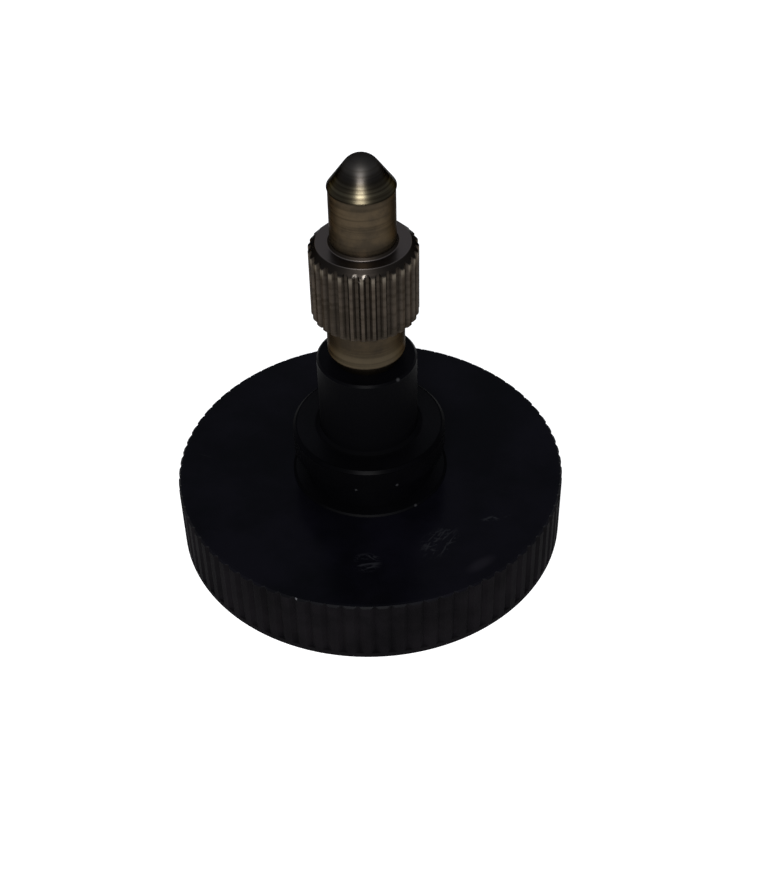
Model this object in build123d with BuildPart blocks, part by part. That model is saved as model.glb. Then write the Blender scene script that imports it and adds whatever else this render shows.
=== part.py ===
from build123d import *
import math
import os

os.makedirs("parts", exist_ok=True)

# Knob of one black moulding with a turned brass spindle moulded into its hub.
# The origin is the centre of the flat underside and +Z runs up the spindle to its nose.

# Grip disc
disc_diameter = 50.0
disc_thickness = 9.0
disc_lip_chamfer = 0.25

# Ribs round the rim of the disc, with sharp valleys between flat crests, above a plain band
rib_count = 78
rib_depth = 0.35
rib_crest_share = 0.45
band_height = 0.7

# Stepped hub, with its heights measured up from the top of the disc
waist_diameter = 16.6
boss_ledge = 1.7
boss_height = 0.4
flange_overhang = 1.4
flange_underside = 4.4
flange_top = 7.6
hub_diameter = 12.4
hub_top = 18.5
hub_lip_chamfer = 0.25
hub_corner_chamfer = 0.4
flange_lip_chamfer = 0.35
boss_lip_chamfer = 0.2

# Brass spindle, from the bare end of its root above the hub to the nose
bare_root_length = 1.5
neck_diameter = 9.5
neck_length = 5.45
collar_diameter = 12.95
collar_length = 9.95
collar_lip_chamfer = 0.9
collar_foot_chamfer = 0.25
pilot_diameter = 7.8
pilot_length = 7.5
pilot_foot_chamfer = 0.3
nose_ledge = 0.1
nose_angle = 70.0
nose_radius = 2.4

# Straight knurl of the collar, with flat crests and flat valleys between sloping flanks
knurl_count = 31
knurl_depth = 0.4
knurl_crest_share = 0.28
knurl_valley_share = 0.28

# Root of the spindle, hidden in the hub, with a groove that the moulding fills
root_diameter = 8.0
root_length = 15.0
root_end_chamfer = 0.6
key_groove_depth = 0.5
key_groove_width = 1.2
key_groove_lift = 3.0
moulding_gap = 0.02

# Radii and heights that follow from the sizes above
disc_radius = disc_diameter / 2
waist_radius = waist_diameter / 2
boss_radius = waist_radius + boss_ledge
flange_radius = waist_radius + flange_overhang
hub_radius = hub_diameter / 2
root_radius = root_diameter / 2
neck_radius = neck_diameter / 2
collar_radius = collar_diameter / 2
pilot_radius = pilot_diameter / 2
cone_radius = pilot_radius + nose_ledge

boss_top_z = disc_thickness + boss_height
flange_underside_z = disc_thickness + flange_underside
flange_top_z = disc_thickness + flange_top
hub_top_z = disc_thickness + hub_top
root_z = hub_top_z - root_length
neck_z = hub_top_z + bare_root_length
collar_z = neck_z + neck_length
collar_top_z = collar_z + collar_length
cone_z = collar_top_z + pilot_length

# The cone's flank meets the rounded nose at a tangent
half_angle = math.radians(nose_angle / 2)
cone_tip_z = cone_z + cone_radius / math.tan(half_angle)
nose_centre_z = cone_tip_z - nose_radius / math.sin(half_angle)


def polar_point(radius, turn):
    """Point at this radius, a part of a full turn round the axis."""
    angle = 2 * math.pi * turn
    return (radius * math.cos(angle), radius * math.sin(angle))


def ring_edges(part, radius, height):
    """Full circles of a turned part at this radius and height."""
    circles = part.edges().filter_by(GeomType.CIRCLE)
    return circles.filter_by(
        lambda edge: abs(edge.radius - radius) < 0.001
        and abs(edge.arc_center.Z - height) < 0.001
    )


def root_outline(gap, head):
    """Half section of the spindle's root up to a height, let out by a gap."""
    side = root_radius + gap
    groove_side = side - key_groove_depth
    foot = root_z - gap
    groove_foot = root_z + key_groove_lift + gap
    groove_head = root_z + key_groove_lift + key_groove_width - gap
    return [
        (0, head),
        (0, foot),
        (side - root_end_chamfer, foot),
        (side, foot + root_end_chamfer),
        (side, groove_foot),
        (groove_side, groove_foot),
        (groove_side, groove_head),
        (side, groove_head),
        (side, head),
    ]


def ridge_ring(radius, count, depth, crest_share, valley_share):
    """Corners of an outline of ridges, each with a flat crest that takes a share of its pitch."""
    floor = radius - depth
    half_crest = crest_share / 2
    half_valley = valley_share / 2
    corners = []
    for step in range(count):
        corners.append(polar_point(radius, (step - half_crest) / count))
        corners.append(polar_point(radius, (step + half_crest) / count))
        corners.append(polar_point(floor, (step + 0.5 - half_valley) / count))
        if valley_share > 0:
            corners.append(polar_point(floor, (step + 0.5 + half_valley) / count))
    return corners


# Knob: the disc and its stepped hub are turned in one section
with BuildPart() as knob:
    with BuildSketch(Plane.XZ):
        with BuildLine():
            Polyline(
                (0, 0),
                (disc_radius, 0),
                (disc_radius, disc_thickness - disc_lip_chamfer),
                (disc_radius - disc_lip_chamfer, disc_thickness),
                (boss_radius, disc_thickness),
                (boss_radius, boss_top_z),
                (waist_radius, boss_top_z),
                (waist_radius, flange_underside_z),
                (flange_radius, flange_underside_z),
                (flange_radius, flange_top_z),
                (hub_radius, flange_top_z),
                (hub_radius, hub_top_z),
                (0, hub_top_z),
                close=True,
            )
        make_face()
    revolve(axis=Axis.Z)
    chamfer(ring_edges(knob.part, boss_radius, boss_top_z), length=boss_lip_chamfer)
    chamfer(ring_edges(knob.part, flange_radius, flange_top_z), length=flange_lip_chamfer)
    chamfer(ring_edges(knob.part, hub_radius, flange_top_z), length=hub_corner_chamfer)
    chamfer(ring_edges(knob.part, hub_radius, hub_top_z), length=hub_lip_chamfer)

    # Blind bore that grips the spindle's root
    with BuildSketch(Plane.XZ):
        with BuildLine():
            Polyline(*root_outline(moulding_gap, hub_top_z), close=True)
        make_face()
    revolve(axis=Axis.Z, mode=Mode.SUBTRACT)

    # Ribs of the rim, left by a cutter that stops at the plain band
    with BuildSketch(Plane.XY.offset(band_height)):
        Circle(disc_radius + rib_depth)
        with BuildLine():
            Polyline(
                *ridge_ring(disc_radius, rib_count, rib_depth, rib_crest_share, 0),
                close=True,
            )
        make_face(mode=Mode.SUBTRACT)
    extrude(amount=disc_thickness, mode=Mode.SUBTRACT)

# Spindle: root, neck, collar, pilot and coned nose are turned in one section
with BuildPart() as spindle:
    with BuildSketch(Plane.XZ):
        with BuildLine():
            nose = CenterArc(
                (0, nose_centre_z), nose_radius, nose_angle / 2, 90 - nose_angle / 2
            )
            Polyline(
                nose @ 1,
                *root_outline(0, neck_z)[1:],
                (neck_radius, neck_z),
                (neck_radius, collar_z),
                (collar_radius - collar_foot_chamfer, collar_z),
                (collar_radius, collar_z + collar_foot_chamfer),
                (collar_radius, collar_top_z - collar_lip_chamfer),
                (collar_radius - collar_lip_chamfer, collar_top_z),
                (pilot_radius, collar_top_z),
                (pilot_radius, cone_z),
                (cone_radius, cone_z),
                nose @ 0,
            )
        make_face()
    revolve(axis=Axis.Z)
    chamfer(ring_edges(spindle.part, pilot_radius, collar_top_z), length=pilot_foot_chamfer)

    # Knurl of the collar, cut through the turned collar and its chamfers by its outline
    with BuildSketch(Plane.XY.offset(root_z)):
        with BuildLine():
            Polyline(
                *ridge_ring(
                    collar_radius, knurl_count, knurl_depth, knurl_crest_share, knurl_valley_share
                ),
                close=True,
            )
        make_face()
    extrude(amount=cone_tip_z - root_z, mode=Mode.INTERSECT)

knob.part.label = "knob"
export_step(knob.part, "parts/knob.step")

spindle.part.label = "spindle"
export_step(spindle.part, "parts/spindle.step")
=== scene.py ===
import math

import bpy
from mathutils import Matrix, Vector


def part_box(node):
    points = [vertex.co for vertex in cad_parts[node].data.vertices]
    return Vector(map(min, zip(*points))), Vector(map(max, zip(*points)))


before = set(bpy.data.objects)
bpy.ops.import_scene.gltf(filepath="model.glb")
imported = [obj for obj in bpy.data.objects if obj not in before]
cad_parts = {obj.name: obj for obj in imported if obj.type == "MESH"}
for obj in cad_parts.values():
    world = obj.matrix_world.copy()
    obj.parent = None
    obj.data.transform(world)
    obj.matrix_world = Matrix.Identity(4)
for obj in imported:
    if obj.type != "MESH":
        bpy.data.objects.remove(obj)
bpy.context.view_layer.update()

# The camera of the photograph, in metres and degrees, with its lens in millimetres
CAMERA_PLACE = (0.0, -0.145507, 0.146214)
CAMERA_TURN = (47.5196, 0.9797, -1.6099)
SENSOR_WIDTH = 36.0
FOCAL_LENGTH = 62.38
NEAREST_SEEN = 0.01
FARTHEST_SEEN = 10

# The floor, in metres, and its glow where it is seen or mirrored
FLOOR_SIZE = 4.0
FLOOR_GREY = (0.5, 0.5, 0.5, 1)
FLOOR_GLOW = 0.8
WHITE = (1, 1, 1, 1)
BLACK = (0, 0, 0, 1)

# The dim ceiling, and the heights between which it takes over from white, from 0 level to 1 overhead
CEILING_COLOUR = (0.86, 0.9, 1.0, 1)
CEILING_STRENGTH = 0.42
CEILING_STARTS = (0.02, 0.20)

# Soft lamps: place, width and height in metres, power in watts
LAMP_TARGET = (0, 0, 0.05)
LAMPS = {
    "key_lamp": ((-0.03, -0.38, 0.315), 0.18, 0.045, 2.6),
    "top_lamp": ((-0.05, -0.15, 0.45), 0.08, 0.08, 0.16),
}

# The knob and its spindle, in metres
DISC_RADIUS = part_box("knob")[1][0]
HUB_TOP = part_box("knob")[1][2]
DISC_TOP = HUB_TOP - 0.0185
FLANGE_TOP = DISC_TOP + 0.0076
BOSS_RADIUS = 0.0100
FLANGE_RADIUS = 0.0097
HUB_RADIUS = 0.0062
COLLAR_RADIUS = 0.006475
COLLAR_FOOT = HUB_TOP + 0.00695
COLLAR_TOP = COLLAR_FOOT + 0.00995
CONE_FOOT = COLLAR_TOP + 0.0075

# A tenth of a millimetre, in metres: the unit for the soft edges between zones of wear and of
# painted light and shade
TENTH = 0.0001

# The y places between which the lips of the boss and the flange go from gloss to dull
LIP_GLOSS_ENDS = (-0.0092, -0.0070)

# Scuffed places on top of the disc: x, y, half length, half width in metres, turn in degrees
SCUFFED_PLACES = (
    (0.0083, -0.0145, 0.0036, 0.0025, 46),
    (0.0156, -0.0105, 0.0024, 0.0007, 12),
    (-0.0008, -0.0175, 0.0021, 0.0019, 0),
)
RUBBED_PLACE = (0.0131, -0.0184, 0.0028, 0.0011, 35)

# Painted glints: small bright spots of painted highlight on the moulding and the brass: x, y, z and
# radius in metres
RIM_GLINTS = (
    (-0.00947, -0.02314, 0.00900, 0.00030),
)
HUB_GLINTS = (
    (-0.00186, -0.00952, 0.01361, 0.00022),
    (0.00325, -0.00914, 0.01388, 0.00026),
    (0.00564, -0.00826, 0.00935, 0.00030),
    (0.00370, -0.00490, 0.02740, 0.00036),
)
# Painted highlights on the knurl's teeth at the collar's chamfer
BRASS_GLINTS = (
    (-0.00107, -0.00618, 0.04375, 0.00040),
    (0.00003, -0.00630, 0.04375, 0.00040),
    (-0.00068, -0.00636, 0.04305, 0.00030),
)

# Mottled patterns: scale, layers of detail and their roughness
MOULDING_GRAIN = (2600, 3, 0.6)
MOULDING_CLOUD = (85, 4, 0.6)
MOULDING_PATCHES = (160, 3, 0.6)
BRASS_TARNISH = (420, 4, 0.6)
BRASS_CLOUD = (140, 3, 0.5)

# Drawn-out patterns: how each axis is stretched, at a scale of 1
LONG_SCRATCHES = (380, 2400, 380)
SHORT_SCRATCHES = (700, 2000, 700)
HAIRLINES = (90, 2600, 90)
TURNING_LINES = (60, 60, 5200)
TURNED_RINGS = (40, 40, 1700)

# How scratches lean across their scuffed place and hairlines across the disc, in degrees
LONG_SCRATCH_LEAN = -8
SHORT_SCRATCH_LEAN = 35
HAIRLINE_LEAN = 28
CROSSING_HAIRLINE_LEAN = -52


def tint(level, red, green, blue):
    """A colour of one level with a tint."""
    return (level * red, level * green, level * blue, 1)


# Colours of the moulding, in pairs where a mottled finish runs from one to the other
POLISHED_BLACKS = (tint(0.0011, 0.97, 1.0, 1.65), tint(0.0021, 1.05, 0.98, 1.70))
PLAIN_BLACKS = (tint(0.0008, 1.0, 1.0, 1.3), tint(0.0013, 1.02, 1.0, 1.4))
RIM_BLACKS = (tint(0.0022, 1.12, 1.0, 1.2), tint(0.0044, 1.16, 1.0, 1.2))
SLEEVE_BLACK = tint(0.0014, 1.0, 1.0, 1.25)
HAIRLINE_GREY = tint(0.014, 1.0, 1.0, 1.2)
RUBBED_GREY = tint(0.010, 1.1, 1.0, 1.3)
SCUFF_GREY = tint(0.0108, 1.0, 1.02, 1.2)
# Painted highlights for the glints on the hub and the rim
HUB_GLINT_GREY = tint(0.022, 1.0, 1.0, 1.05)
RIM_GLINT_GREY = tint(0.22, 1.0, 1.0, 1.05)

# Colours of the brass, in pairs in the same way
TARNISHED_BROWNS = (tint(0.060, 1.0, 0.74, 0.46), tint(0.038, 1.0, 0.78, 0.54))
KNURL_BROWNS = (tint(0.061, 1.0, 0.80, 0.62), tint(0.042, 1.0, 0.82, 0.66))
# The nose is painted lighter at its foot to brighten its highlight there, painted darker up its
# flank to fade it, and painted lighter at the tip as a soft painted highlight
CONE_FOOT_BROWNS = (tint(0.030, 1.0, 0.83, 0.54), tint(0.058, 1.0, 0.87, 0.57))
CONE_FLANK_BROWNS = (tint(0.010, 1.0, 0.86, 0.74), tint(0.018, 1.0, 0.88, 0.78))
TIP_HIGHLIGHT_BROWN = tint(0.036, 1.0, 0.93, 0.86)
NECK_BROWN = tint(0.020, 1.0, 0.80, 0.56)
# Painted light on the foot of the neck, below the shade of the collar
NECK_FOOT_LIT_BROWN = tint(0.085, 1.0, 0.80, 0.52)
RING_BROWN = tint(0.014, 1.0, 0.80, 0.5)
# Painted highlight on the tops of the knurl's ridges
CROWN_HIGHLIGHT_BROWN = tint(0.12, 1.0, 0.86, 0.68)
# Painted shade in the knurl's valleys
VALLEY_SHADE_BROWN = tint(0.010, 1.0, 0.82, 0.66)
# Painted shade on the chamfer and top of the collar
SHOULDER_SHADE_BROWN = tint(0.016, 1.0, 0.84, 0.72)
# Painted reflection of the pilot on the collar's flat top
STEP_REFLECTION_BROWN = tint(0.11, 1.0, 0.87, 0.80)
SEAM_BROWN = tint(0.010, 1.0, 0.82, 0.5)
# Painted shade on the root under the neck and where it goes into the hub
SHADED_ROOT_BROWN = tint(0.010, 1.0, 0.80, 0.6)
# Painted highlight for the glints on the collar's chamfer
GLINT_BROWN = tint(0.36, 1.0, 0.90, 0.78)

# Roughness of a plain face, and what each zone or pattern adds to it
MOULDING_ROUGHNESS = 0.15
MOULDING_ROUGHER = {
    "cloud": 0.1,
    "rim": 0.5,
    "disc_lip": 0.3,
    "boss_lip": 0.33,
    "flange_lip": 0.10,
    "hub_lip": 0.12,
    "wall": 0.2,
    "scuffs": 0.15,
    "corner": 0.4,
}
BRASS_ROUGHNESS = 0.36
BRASS_ROUGHER = {
    "tarnish": 0.10,
    "nose": -0.13,
    "tip": 0.20,
    "valley": 0.08,
    "rings": 0.06,
    "shoulder": -0.14,
    "pilot_foot": 0.22,
}

# Gloss of the moulding, mirroring of the brass at its edges, and depth of relief in metres
MOULDING_GLOSS = 0.036
BRASS_EDGE_GREY = (0.30, 0.30, 0.30, 1)
MOULDING_RELIEF = 0.00001
BRASS_RELIEF = 0.00002


class Value:
    """A node's output that takes part in sums, so that shader maths reads as maths."""

    def __init__(self, nodes, socket):
        self.nodes = nodes
        self.socket = socket

    def maths(self, operation, *inputs):
        return self.nodes.node("ShaderNodeMath", {"operation": operation}, dict(enumerate(inputs)))

    def __add__(self, other):
        return self.maths("ADD", self, other)

    def __radd__(self, other):
        return self.maths("ADD", other, self)

    def __sub__(self, other):
        return self.maths("SUBTRACT", self, other)

    def __rsub__(self, other):
        return self.maths("SUBTRACT", other, self)

    def __mul__(self, other):
        return self.maths("MULTIPLY", self, other)

    def __rmul__(self, other):
        return self.maths("MULTIPLY", other, self)

    def most(self, other):
        return self.maths("MAXIMUM", self, other)

    def root(self):
        return self.maths("SQRT", self)

    def rise(self, low, high):
        """0 below low, 1 above high, and a smooth rise between them."""
        return self.nodes.node(
            "ShaderNodeMapRange",
            {"interpolation_type": "SMOOTHSTEP"},
            {"Value": self, "From Min": low, "From Max": high},
        )

    def fall(self, low, high):
        """1 below low, 0 above high, and a smooth fall between them."""
        return 1 - self.rise(low, high)

    def above(self, level, start, end):
        """A rise that starts and ends some tenths of a millimetre from a level."""
        return self.rise(level + start * TENTH, level + end * TENTH)

    def below(self, level, start, end):
        """A fall that starts and ends some tenths of a millimetre from a level."""
        return self.fall(level + start * TENTH, level + end * TENTH)


class Nodes:
    """A tree whose nodes are made one by one from their type, settings and inputs."""

    def __init__(self, tree, ending):
        self.tree = tree
        self.tree.nodes.clear()
        self.output = self.tree.nodes.new(ending)

    def node(self, kind, settings=None, inputs=None, output=0):
        """One node, with its settings made first, and then its sockets' values or links."""
        node = self.tree.nodes.new(kind)
        for name, value in (settings or {}).items():
            setattr(node, name, value)
        for name, value in (inputs or {}).items():
            if isinstance(value, Value):
                self.tree.links.new(value.socket, node.inputs[name])
            else:
                node.inputs[name].default_value = value
        return Value(self, node.outputs[output])

    def axes(self, vector):
        """The three numbers of a vector."""
        return [
            self.node("ShaderNodeSeparateXYZ", inputs={"Vector": vector}, output=number)
            for number in range(3)
        ]

    def rays(self, first, *others):
        """1 for rays of the kinds that are named, and 0 for all others."""
        found = self.node("ShaderNodeLightPath", output=f"Is {first} Ray")
        for kind in others:
            found = found.most(self.node("ShaderNodeLightPath", output=f"Is {kind} Ray"))
        return found

    def mix(self, share, first, second):
        """One shader that gives way to another by a share."""
        return self.node("ShaderNodeMixShader", inputs={0: share, 1: first, 2: second})

    def end(self, shader):
        """Ends the tree in this shader."""
        self.tree.links.new(shader.socket, self.output.inputs["Surface"])


class Finish(Nodes):
    """A material made of patterns, zones and colours that follow the point on the piece."""

    def __init__(self, name):
        self.material = bpy.data.materials.new(name)
        self.material.use_nodes = True
        super().__init__(self.material.node_tree, "ShaderNodeOutputMaterial")

    def point(self):
        """The point on the piece, in its own metres."""
        return self.node("ShaderNodeTexCoord", output="Object")

    def place(self, stretch=(1, 1, 1), turn=0, shift=(0, 0, 0)):
        """The point shifted, turned about the axis in degrees and stretched, for a pattern."""
        moved = self.node("ShaderNodeMapping", inputs={"Vector": self.point(), "Location": shift})
        turned = self.node(
            "ShaderNodeMapping",
            inputs={"Vector": moved, "Rotation": (0, 0, math.radians(turn))},
        )
        return self.node("ShaderNodeMapping", inputs={"Vector": turned, "Scale": stretch})

    def noise(self, vector, scale, detail, roughness, distortion=0.0):
        """Even random variation between 0 and 1."""
        return self.node(
            "ShaderNodeTexNoise",
            inputs={
                "Vector": vector,
                "Scale": scale,
                "Detail": detail,
                "Roughness": roughness,
                "Distortion": distortion,
            },
        )

    def length(self, vector):
        """How long a vector is."""
        return self.node("ShaderNodeVectorMath", {"operation": "LENGTH"}, {0: vector}, "Value")

    def patch(self, place, edge=0.6):
        """1 inside a turned ellipse on the disc, fading to 0 over a share of it at its edge."""
        x, y, length, width, turn = place
        near = self.place((1 / length, 1 / width, 0), -turn, (-x, -y, 0))
        return self.length(near).fall(1 - edge, 1)

    def spots(self, places, core=0.2):
        """1 at the core of small balls round points, fading to 0 at their edges."""
        whole = None
        for x, y, z, size in places:
            near = self.place((1 / size, 1 / size, 1 / size), 0, (-x, -y, -z))
            ball = self.length(near).fall(core, 1)
            whole = ball if whole is None else whole.most(ball)
        return whole

    def blend(self, share, first, second):
        """A colour between two colours."""
        return self.node(
            "ShaderNodeMix", {"data_type": "RGBA"}, {0: share, 6: first, 7: second}, 2
        )

    def overlay(self, colour, layers):
        """A colour with others laid over it in turn, each by its share."""
        for share, other in layers:
            colour = self.blend(share, colour, other)
        return colour

    def bump(self, height, depth, strength):
        """A normal tilted by a height, as deep as this in metres."""
        inputs = {"Height": height, "Distance": depth, "Strength": strength}
        return self.node("ShaderNodeBump", inputs=inputs)

    def shade(self, inputs, dull_share=None):
        """Ends the material in one Principled shader, with a share of it made dull."""
        shader = self.node("ShaderNodeBsdfPrincipled", inputs=inputs)
        if dull_share is not None:
            dull = self.node("ShaderNodeBsdfPrincipled", inputs={
                "Base Color": inputs["Base Color"],
                "Roughness": 1.0,
                "Specular IOR Level": 0.0,
            })
            shader = self.mix(dull_share, shader, dull)
        self.end(shader)
        return self.material


def rougher(base, additions, zones):
    """A roughness with what each zone or pattern adds to it."""
    for name, addition in additions.items():
        base = base + addition * zones[name]
    return base


def moulding_zones(finish):
    """The zones of the moulding that differ in wear, each 1 inside and 0 outside."""
    x, y, z = finish.axes(finish.point())
    radius = (x * x + y * y).root()
    below_top = z.below(DISC_TOP, -3.5, -1.5)
    above_disc = z.above(DISC_TOP, 1, 2)
    near_ledge = z.above(FLANGE_TOP, -1, 0) * z.below(FLANGE_TOP, 4, 7)
    boss_lip = above_disc * z.below(DISC_TOP, 4, 6) * radius.above(BOSS_RADIUS, -4, -3)
    flange_lip = z.above(FLANGE_TOP, -5, -4) * radius.above(FLANGE_RADIUS, -6, -4)
    hub_lip = z.above(HUB_TOP, -4, -3)
    return {
        "rim": radius.above(DISC_RADIUS, -6, -4) * below_top,
        "disc_lip": radius.above(DISC_RADIUS, -7, -5) * (1 - below_top),
        "top": z.above(DISC_TOP, -3, -1) * z.below(DISC_TOP, 1, 2),
        "corner": near_ledge * radius.below(HUB_RADIUS, 5, 8),
        "boss_lip": boss_lip,
        "flange_lip": flange_lip,
        "hub_lip": hub_lip,
        "dull_lips": (flange_lip + boss_lip) * y.rise(*LIP_GLOSS_ENDS),
        "wall": above_disc * (1 - boss_lip) * (1 - flange_lip) * (1 - hub_lip),
        "sleeve": z.above(FLANGE_TOP, 3, 4) * (1 - hub_lip),
    }


def scuff_marks(finish):
    """Long and short scratches that cross in the scuffed places."""
    scuffs = None
    for spot in SCUFFED_PLACES:
        turn = spot[4]
        along = finish.place(LONG_SCRATCHES, LONG_SCRATCH_LEAN - turn)
        across = finish.place(SHORT_SCRATCHES, SHORT_SCRATCH_LEAN - turn)
        long_marks = finish.noise(along, 1, 2, 0.6, 0.6).rise(0.52, 0.62)
        short_marks = finish.noise(across, 1, 2, 0.6, 0.9).rise(0.56, 0.66)
        marks = long_marks.most(short_marks) * finish.patch(spot)
        scuffs = marks if scuffs is None else scuffs.most(marks)
    return scuffs


def hairline_marks(finish):
    """Fine hairlines that cross the disc in two directions."""
    one_way = finish.noise(finish.place(HAIRLINES, HAIRLINE_LEAN), 1, 2, 0.5)
    other_way = finish.noise(finish.place(HAIRLINES, CROSSING_HAIRLINE_LEAN), 1, 2, 0.5)
    return one_way.rise(0.7, 0.8).most(other_way.rise(0.71, 0.8))


def black_moulding():
    """Gloss black moulding, polished and scuffed on top of the disc, duller on its ribbed rim."""
    finish = Finish("black_moulding")
    grain = finish.noise(finish.place(), *MOULDING_GRAIN)
    cloud = finish.noise(finish.place(), *MOULDING_CLOUD)
    patchy = finish.noise(finish.place(shift=(0.3, 0.1, 0.2)), *MOULDING_PATCHES)
    scuffs = scuff_marks(finish)
    hairlines = hairline_marks(finish) * patchy.rise(0.5, 0.65)

    zones = moulding_zones(finish)
    top = zones["top"]
    zones["cloud"] = cloud
    zones["scuffs"] = scuffs * top

    clouded = cloud.rise(0.35, 0.68)
    colour = finish.overlay(finish.blend(clouded, *PLAIN_BLACKS), (
        (top, finish.blend(clouded, *POLISHED_BLACKS)),
        (zones["sleeve"], SLEEVE_BLACK),
        (zones["rim"], finish.blend(patchy.rise(0.35, 0.7), *RIM_BLACKS)),
        (0.35 * hairlines * top, HAIRLINE_GREY),
        (0.4 * finish.patch(RUBBED_PLACE, 0.8) * top, RUBBED_GREY),
        (0.8 * zones["scuffs"], SCUFF_GREY),
        # painted glints on the hub and the rim
        (finish.spots(HUB_GLINTS), HUB_GLINT_GREY),
        (finish.spots(RIM_GLINTS), RIM_GLINT_GREY),
    ))

    worn_lips = 0.66 * zones["flange_lip"] + 0.35 * zones["boss_lip"]
    dull_hub = 0.6 * zones["sleeve"] + 0.6 * zones["corner"] + 0.4 * zones["hub_lip"]
    dull = dull_hub + worn_lips.most(0.85 * zones["dull_lips"]) + 0.5 * zones["rim"]
    relief = (0.25 * grain + 0.5 * patchy - scuffs - 0.6 * hairlines) * top + 0.1 * grain
    return finish.shade({
        "Base Color": colour,
        "Roughness": rougher(MOULDING_ROUGHNESS, MOULDING_ROUGHER, zones),
        "Specular IOR Level": MOULDING_GLOSS,
        "Normal": finish.bump(relief, MOULDING_RELIEF, 0.6),
    }, dull)


def brass_zones(finish):
    """The zones of the brass that differ in wear or in painted light and shade, each 1 inside and 0
    outside.
    """
    x, y, z = finish.axes(finish.point())
    radius = (x * x + y * y).root()
    knurl = z.above(COLLAR_FOOT, -1, 0) * z.below(COLLAR_TOP, -2, 0)
    return {
        "nose": z.above(CONE_FOOT, -1, 1),
        "flank": z.above(CONE_FOOT, 6, 22),
        "tip": z.above(CONE_FOOT, 18, 32),
        "seam": z.above(CONE_FOOT, -2.2, -0.8) * z.below(CONE_FOOT, 0.4, 1.4),
        "pilot_foot": z.above(COLLAR_TOP, 0.2, 1) * z.below(COLLAR_TOP, 3, 5),
        "step": z.above(COLLAR_TOP, -1, 0) * z.below(COLLAR_TOP, 0.2, 1),
        "shoulder": z.above(COLLAR_TOP, -11, -7) * z.below(COLLAR_TOP, 2, 7),
        "crown": z.above(COLLAR_TOP, -22, -12) * radius.above(COLLAR_RADIUS, -1.6, -0.4),
        "knurl": knurl,
        "valley": knurl * radius.below(COLLAR_RADIUS, -4.2, -1.2),
        "neck": z.below(COLLAR_FOOT, -1, 0),
        "neck_foot": z.above(HUB_TOP, 15, 17) * z.below(HUB_TOP, 26, 42),
        "shaded_root": z.below(HUB_TOP, 5, 16),
    }


def aged_brass():
    """Turned brass gone dull and dark, with fine turning lines, and a nose painted lighter at its
    foot and tip as painted highlight.
    """
    finish = Finish("aged_brass")
    tarnish = finish.noise(finish.place(), *BRASS_TARNISH)
    cloud = finish.noise(finish.place(), *BRASS_CLOUD)
    lines = finish.noise(finish.place(TURNING_LINES), 1, 3, 0.7)
    rings = finish.noise(finish.place(TURNED_RINGS), 1, 2, 0.6)

    zones = brass_zones(finish)
    zones["tarnish"] = tarnish
    zones["rings"] = rings

    scored = lines.rise(0.36, 0.62)
    # painted highlight on the nose: lighter at its foot and tip, darker up its flank
    cone = finish.overlay(finish.blend(scored, *CONE_FOOT_BROWNS), (
        (zones["flank"], finish.blend(scored, *CONE_FLANK_BROWNS)),
        (zones["tip"], TIP_HIGHLIGHT_BROWN),
    ))
    colour = finish.overlay(finish.blend(tarnish.rise(0.34, 0.68), *TARNISHED_BROWNS), (
        (zones["knurl"], finish.blend(cloud.rise(0.35, 0.65), *KNURL_BROWNS)),
        (zones["nose"], cone),
        (0.35 * zones["neck"], NECK_BROWN),
        # painted light at the neck's foot
        (0.6 * zones["neck_foot"], NECK_FOOT_LIT_BROWN),
        (0.45 * rings.rise(0.45, 0.7), RING_BROWN),
        # painted highlight on the knurl's ridge tops
        (0.8 * zones["crown"], CROWN_HIGHLIGHT_BROWN),
        # painted shade in the knurl's valleys
        (0.38 * zones["valley"], VALLEY_SHADE_BROWN),
        # painted shade on the collar's chamfer
        (0.9 * zones["shoulder"], SHOULDER_SHADE_BROWN),
        # painted reflection of the pilot on the collar's top
        (zones["step"], STEP_REFLECTION_BROWN),
        (0.85 * zones["seam"], SEAM_BROWN),
        # painted shade on the root under the neck
        (0.8 * zones["shaded_root"], SHADED_ROOT_BROWN),
        # painted glints on the collar's chamfer
        (finish.spots(BRASS_GLINTS), GLINT_BROWN),
    ))

    return finish.shade({
        "Base Color": colour,
        "Metallic": 1.0,
        "Roughness": rougher(BRASS_ROUGHNESS, BRASS_ROUGHER, zones),
        "Specular Tint": BRASS_EDGE_GREY,
        "Normal": finish.bump(0.6 * lines + rings, BRASS_RELIEF, 0.5),
    })


def give_finish(node, material):
    """The CAD node keeps its shape and takes this material."""
    node.data.materials.clear()
    node.data.materials.append(material)


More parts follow.
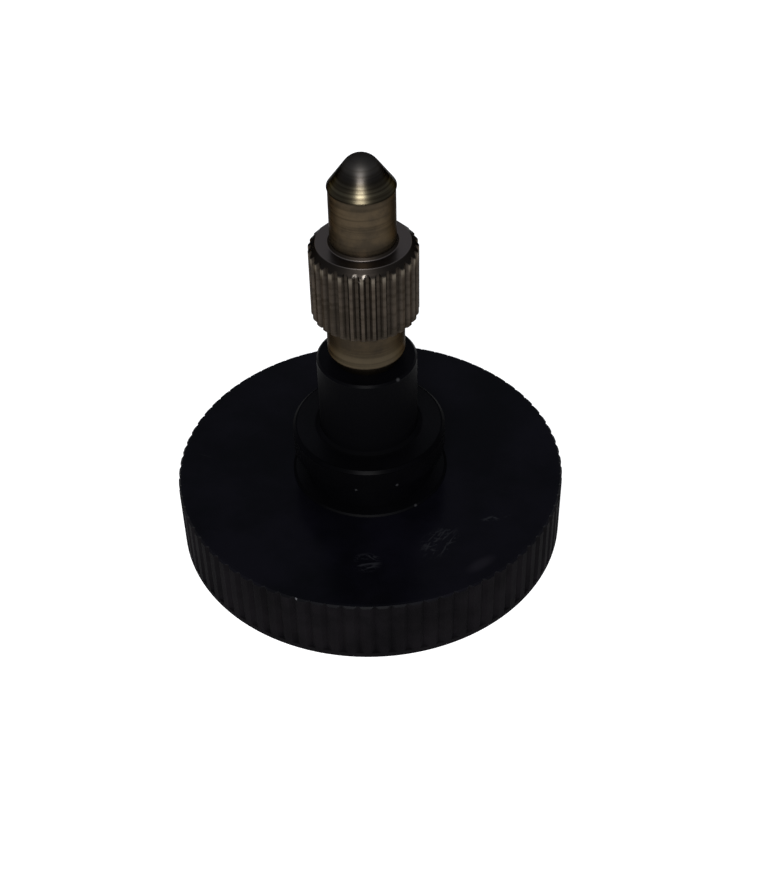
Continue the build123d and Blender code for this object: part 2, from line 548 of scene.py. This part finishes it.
def lay_floor():
    """Plain pale floor that the knob stands on, lifted to white where it is seen or mirrored."""
    bpy.ops.object.select_all(action="DESELECT")
    bpy.ops.mesh.primitive_plane_add(size=FLOOR_SIZE)
    floor = bpy.context.object
    floor.name = "floor"
    finish = Finish("pale_floor")
    card = finish.node("ShaderNodeBsdfDiffuse", inputs={"Color": FLOOR_GREY})
    glow = finish.node("ShaderNodeEmission", inputs={"Color": WHITE, "Strength": FLOOR_GLOW})
    dark = finish.node("ShaderNodeEmission", inputs={"Color": BLACK, "Strength": 0.0})
    lift = finish.mix(finish.rays("Camera", "Glossy", "Transmission"), dark, glow)
    finish.end(finish.node("ShaderNodeAddShader", inputs={0: card, 1: lift}))
    floor.data.materials.append(finish.material)


def light_world():
    """Even studio surround: white to the camera, and to mirrors white low down and dim overhead."""
    world = bpy.data.worlds.new("studio")
    bpy.context.scene.world = world
    world.use_nodes = True
    studio = Nodes(world.node_tree, "ShaderNodeOutputWorld")
    height = studio.axes(studio.node("ShaderNodeTexCoord", output="Generated"))[2]
    low = height.fall(*CEILING_STARTS) * studio.rays("Glossy", "Transmission")
    ceiling = studio.node(
        "ShaderNodeBackground",
        inputs={"Color": CEILING_COLOUR, "Strength": CEILING_STRENGTH},
    )
    white = studio.node("ShaderNodeBackground", inputs={"Color": WHITE, "Strength": 1.0})
    studio.end(studio.mix(studio.rays("Camera").most(low), ceiling, white))


def hang_lamp(name, place, width, height, watts):
    """Soft lamp that faces the knob."""
    data = bpy.data.lights.new(name, "AREA")
    data.shape = "RECTANGLE"
    data.size = width
    data.size_y = height
    data.energy = watts
    lamp = bpy.data.objects.new(name, data)
    bpy.context.scene.collection.objects.link(lamp)
    lamp.location = place
    away = [place[axis] - LAMP_TARGET[axis] for axis in range(3)]
    flat = math.hypot(away[0], away[1])
    lamp.rotation_euler = (math.atan2(flat, away[2]), 0, math.atan2(away[0], -away[1]))


def set_camera():
    """Camera at the photograph's viewing angle."""
    data = bpy.data.cameras.new("camera")
    data.sensor_width = SENSOR_WIDTH
    data.lens = FOCAL_LENGTH
    data.clip_start = NEAREST_SEEN
    data.clip_end = FARTHEST_SEEN
    camera = bpy.data.objects.new("camera", data)
    bpy.context.scene.collection.objects.link(camera)
    camera.location = CAMERA_PLACE
    camera.rotation_euler = [math.radians(turn) for turn in CAMERA_TURN]
    bpy.context.scene.camera = camera


give_finish(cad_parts["knob"], black_moulding())
give_finish(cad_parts["spindle"], aged_brass())
lay_floor()
light_world()
for lamp_name, lamp_values in LAMPS.items():
    hang_lamp(lamp_name, *lamp_values)
set_camera()

bpy.context.scene.view_settings.view_transform = "Standard"
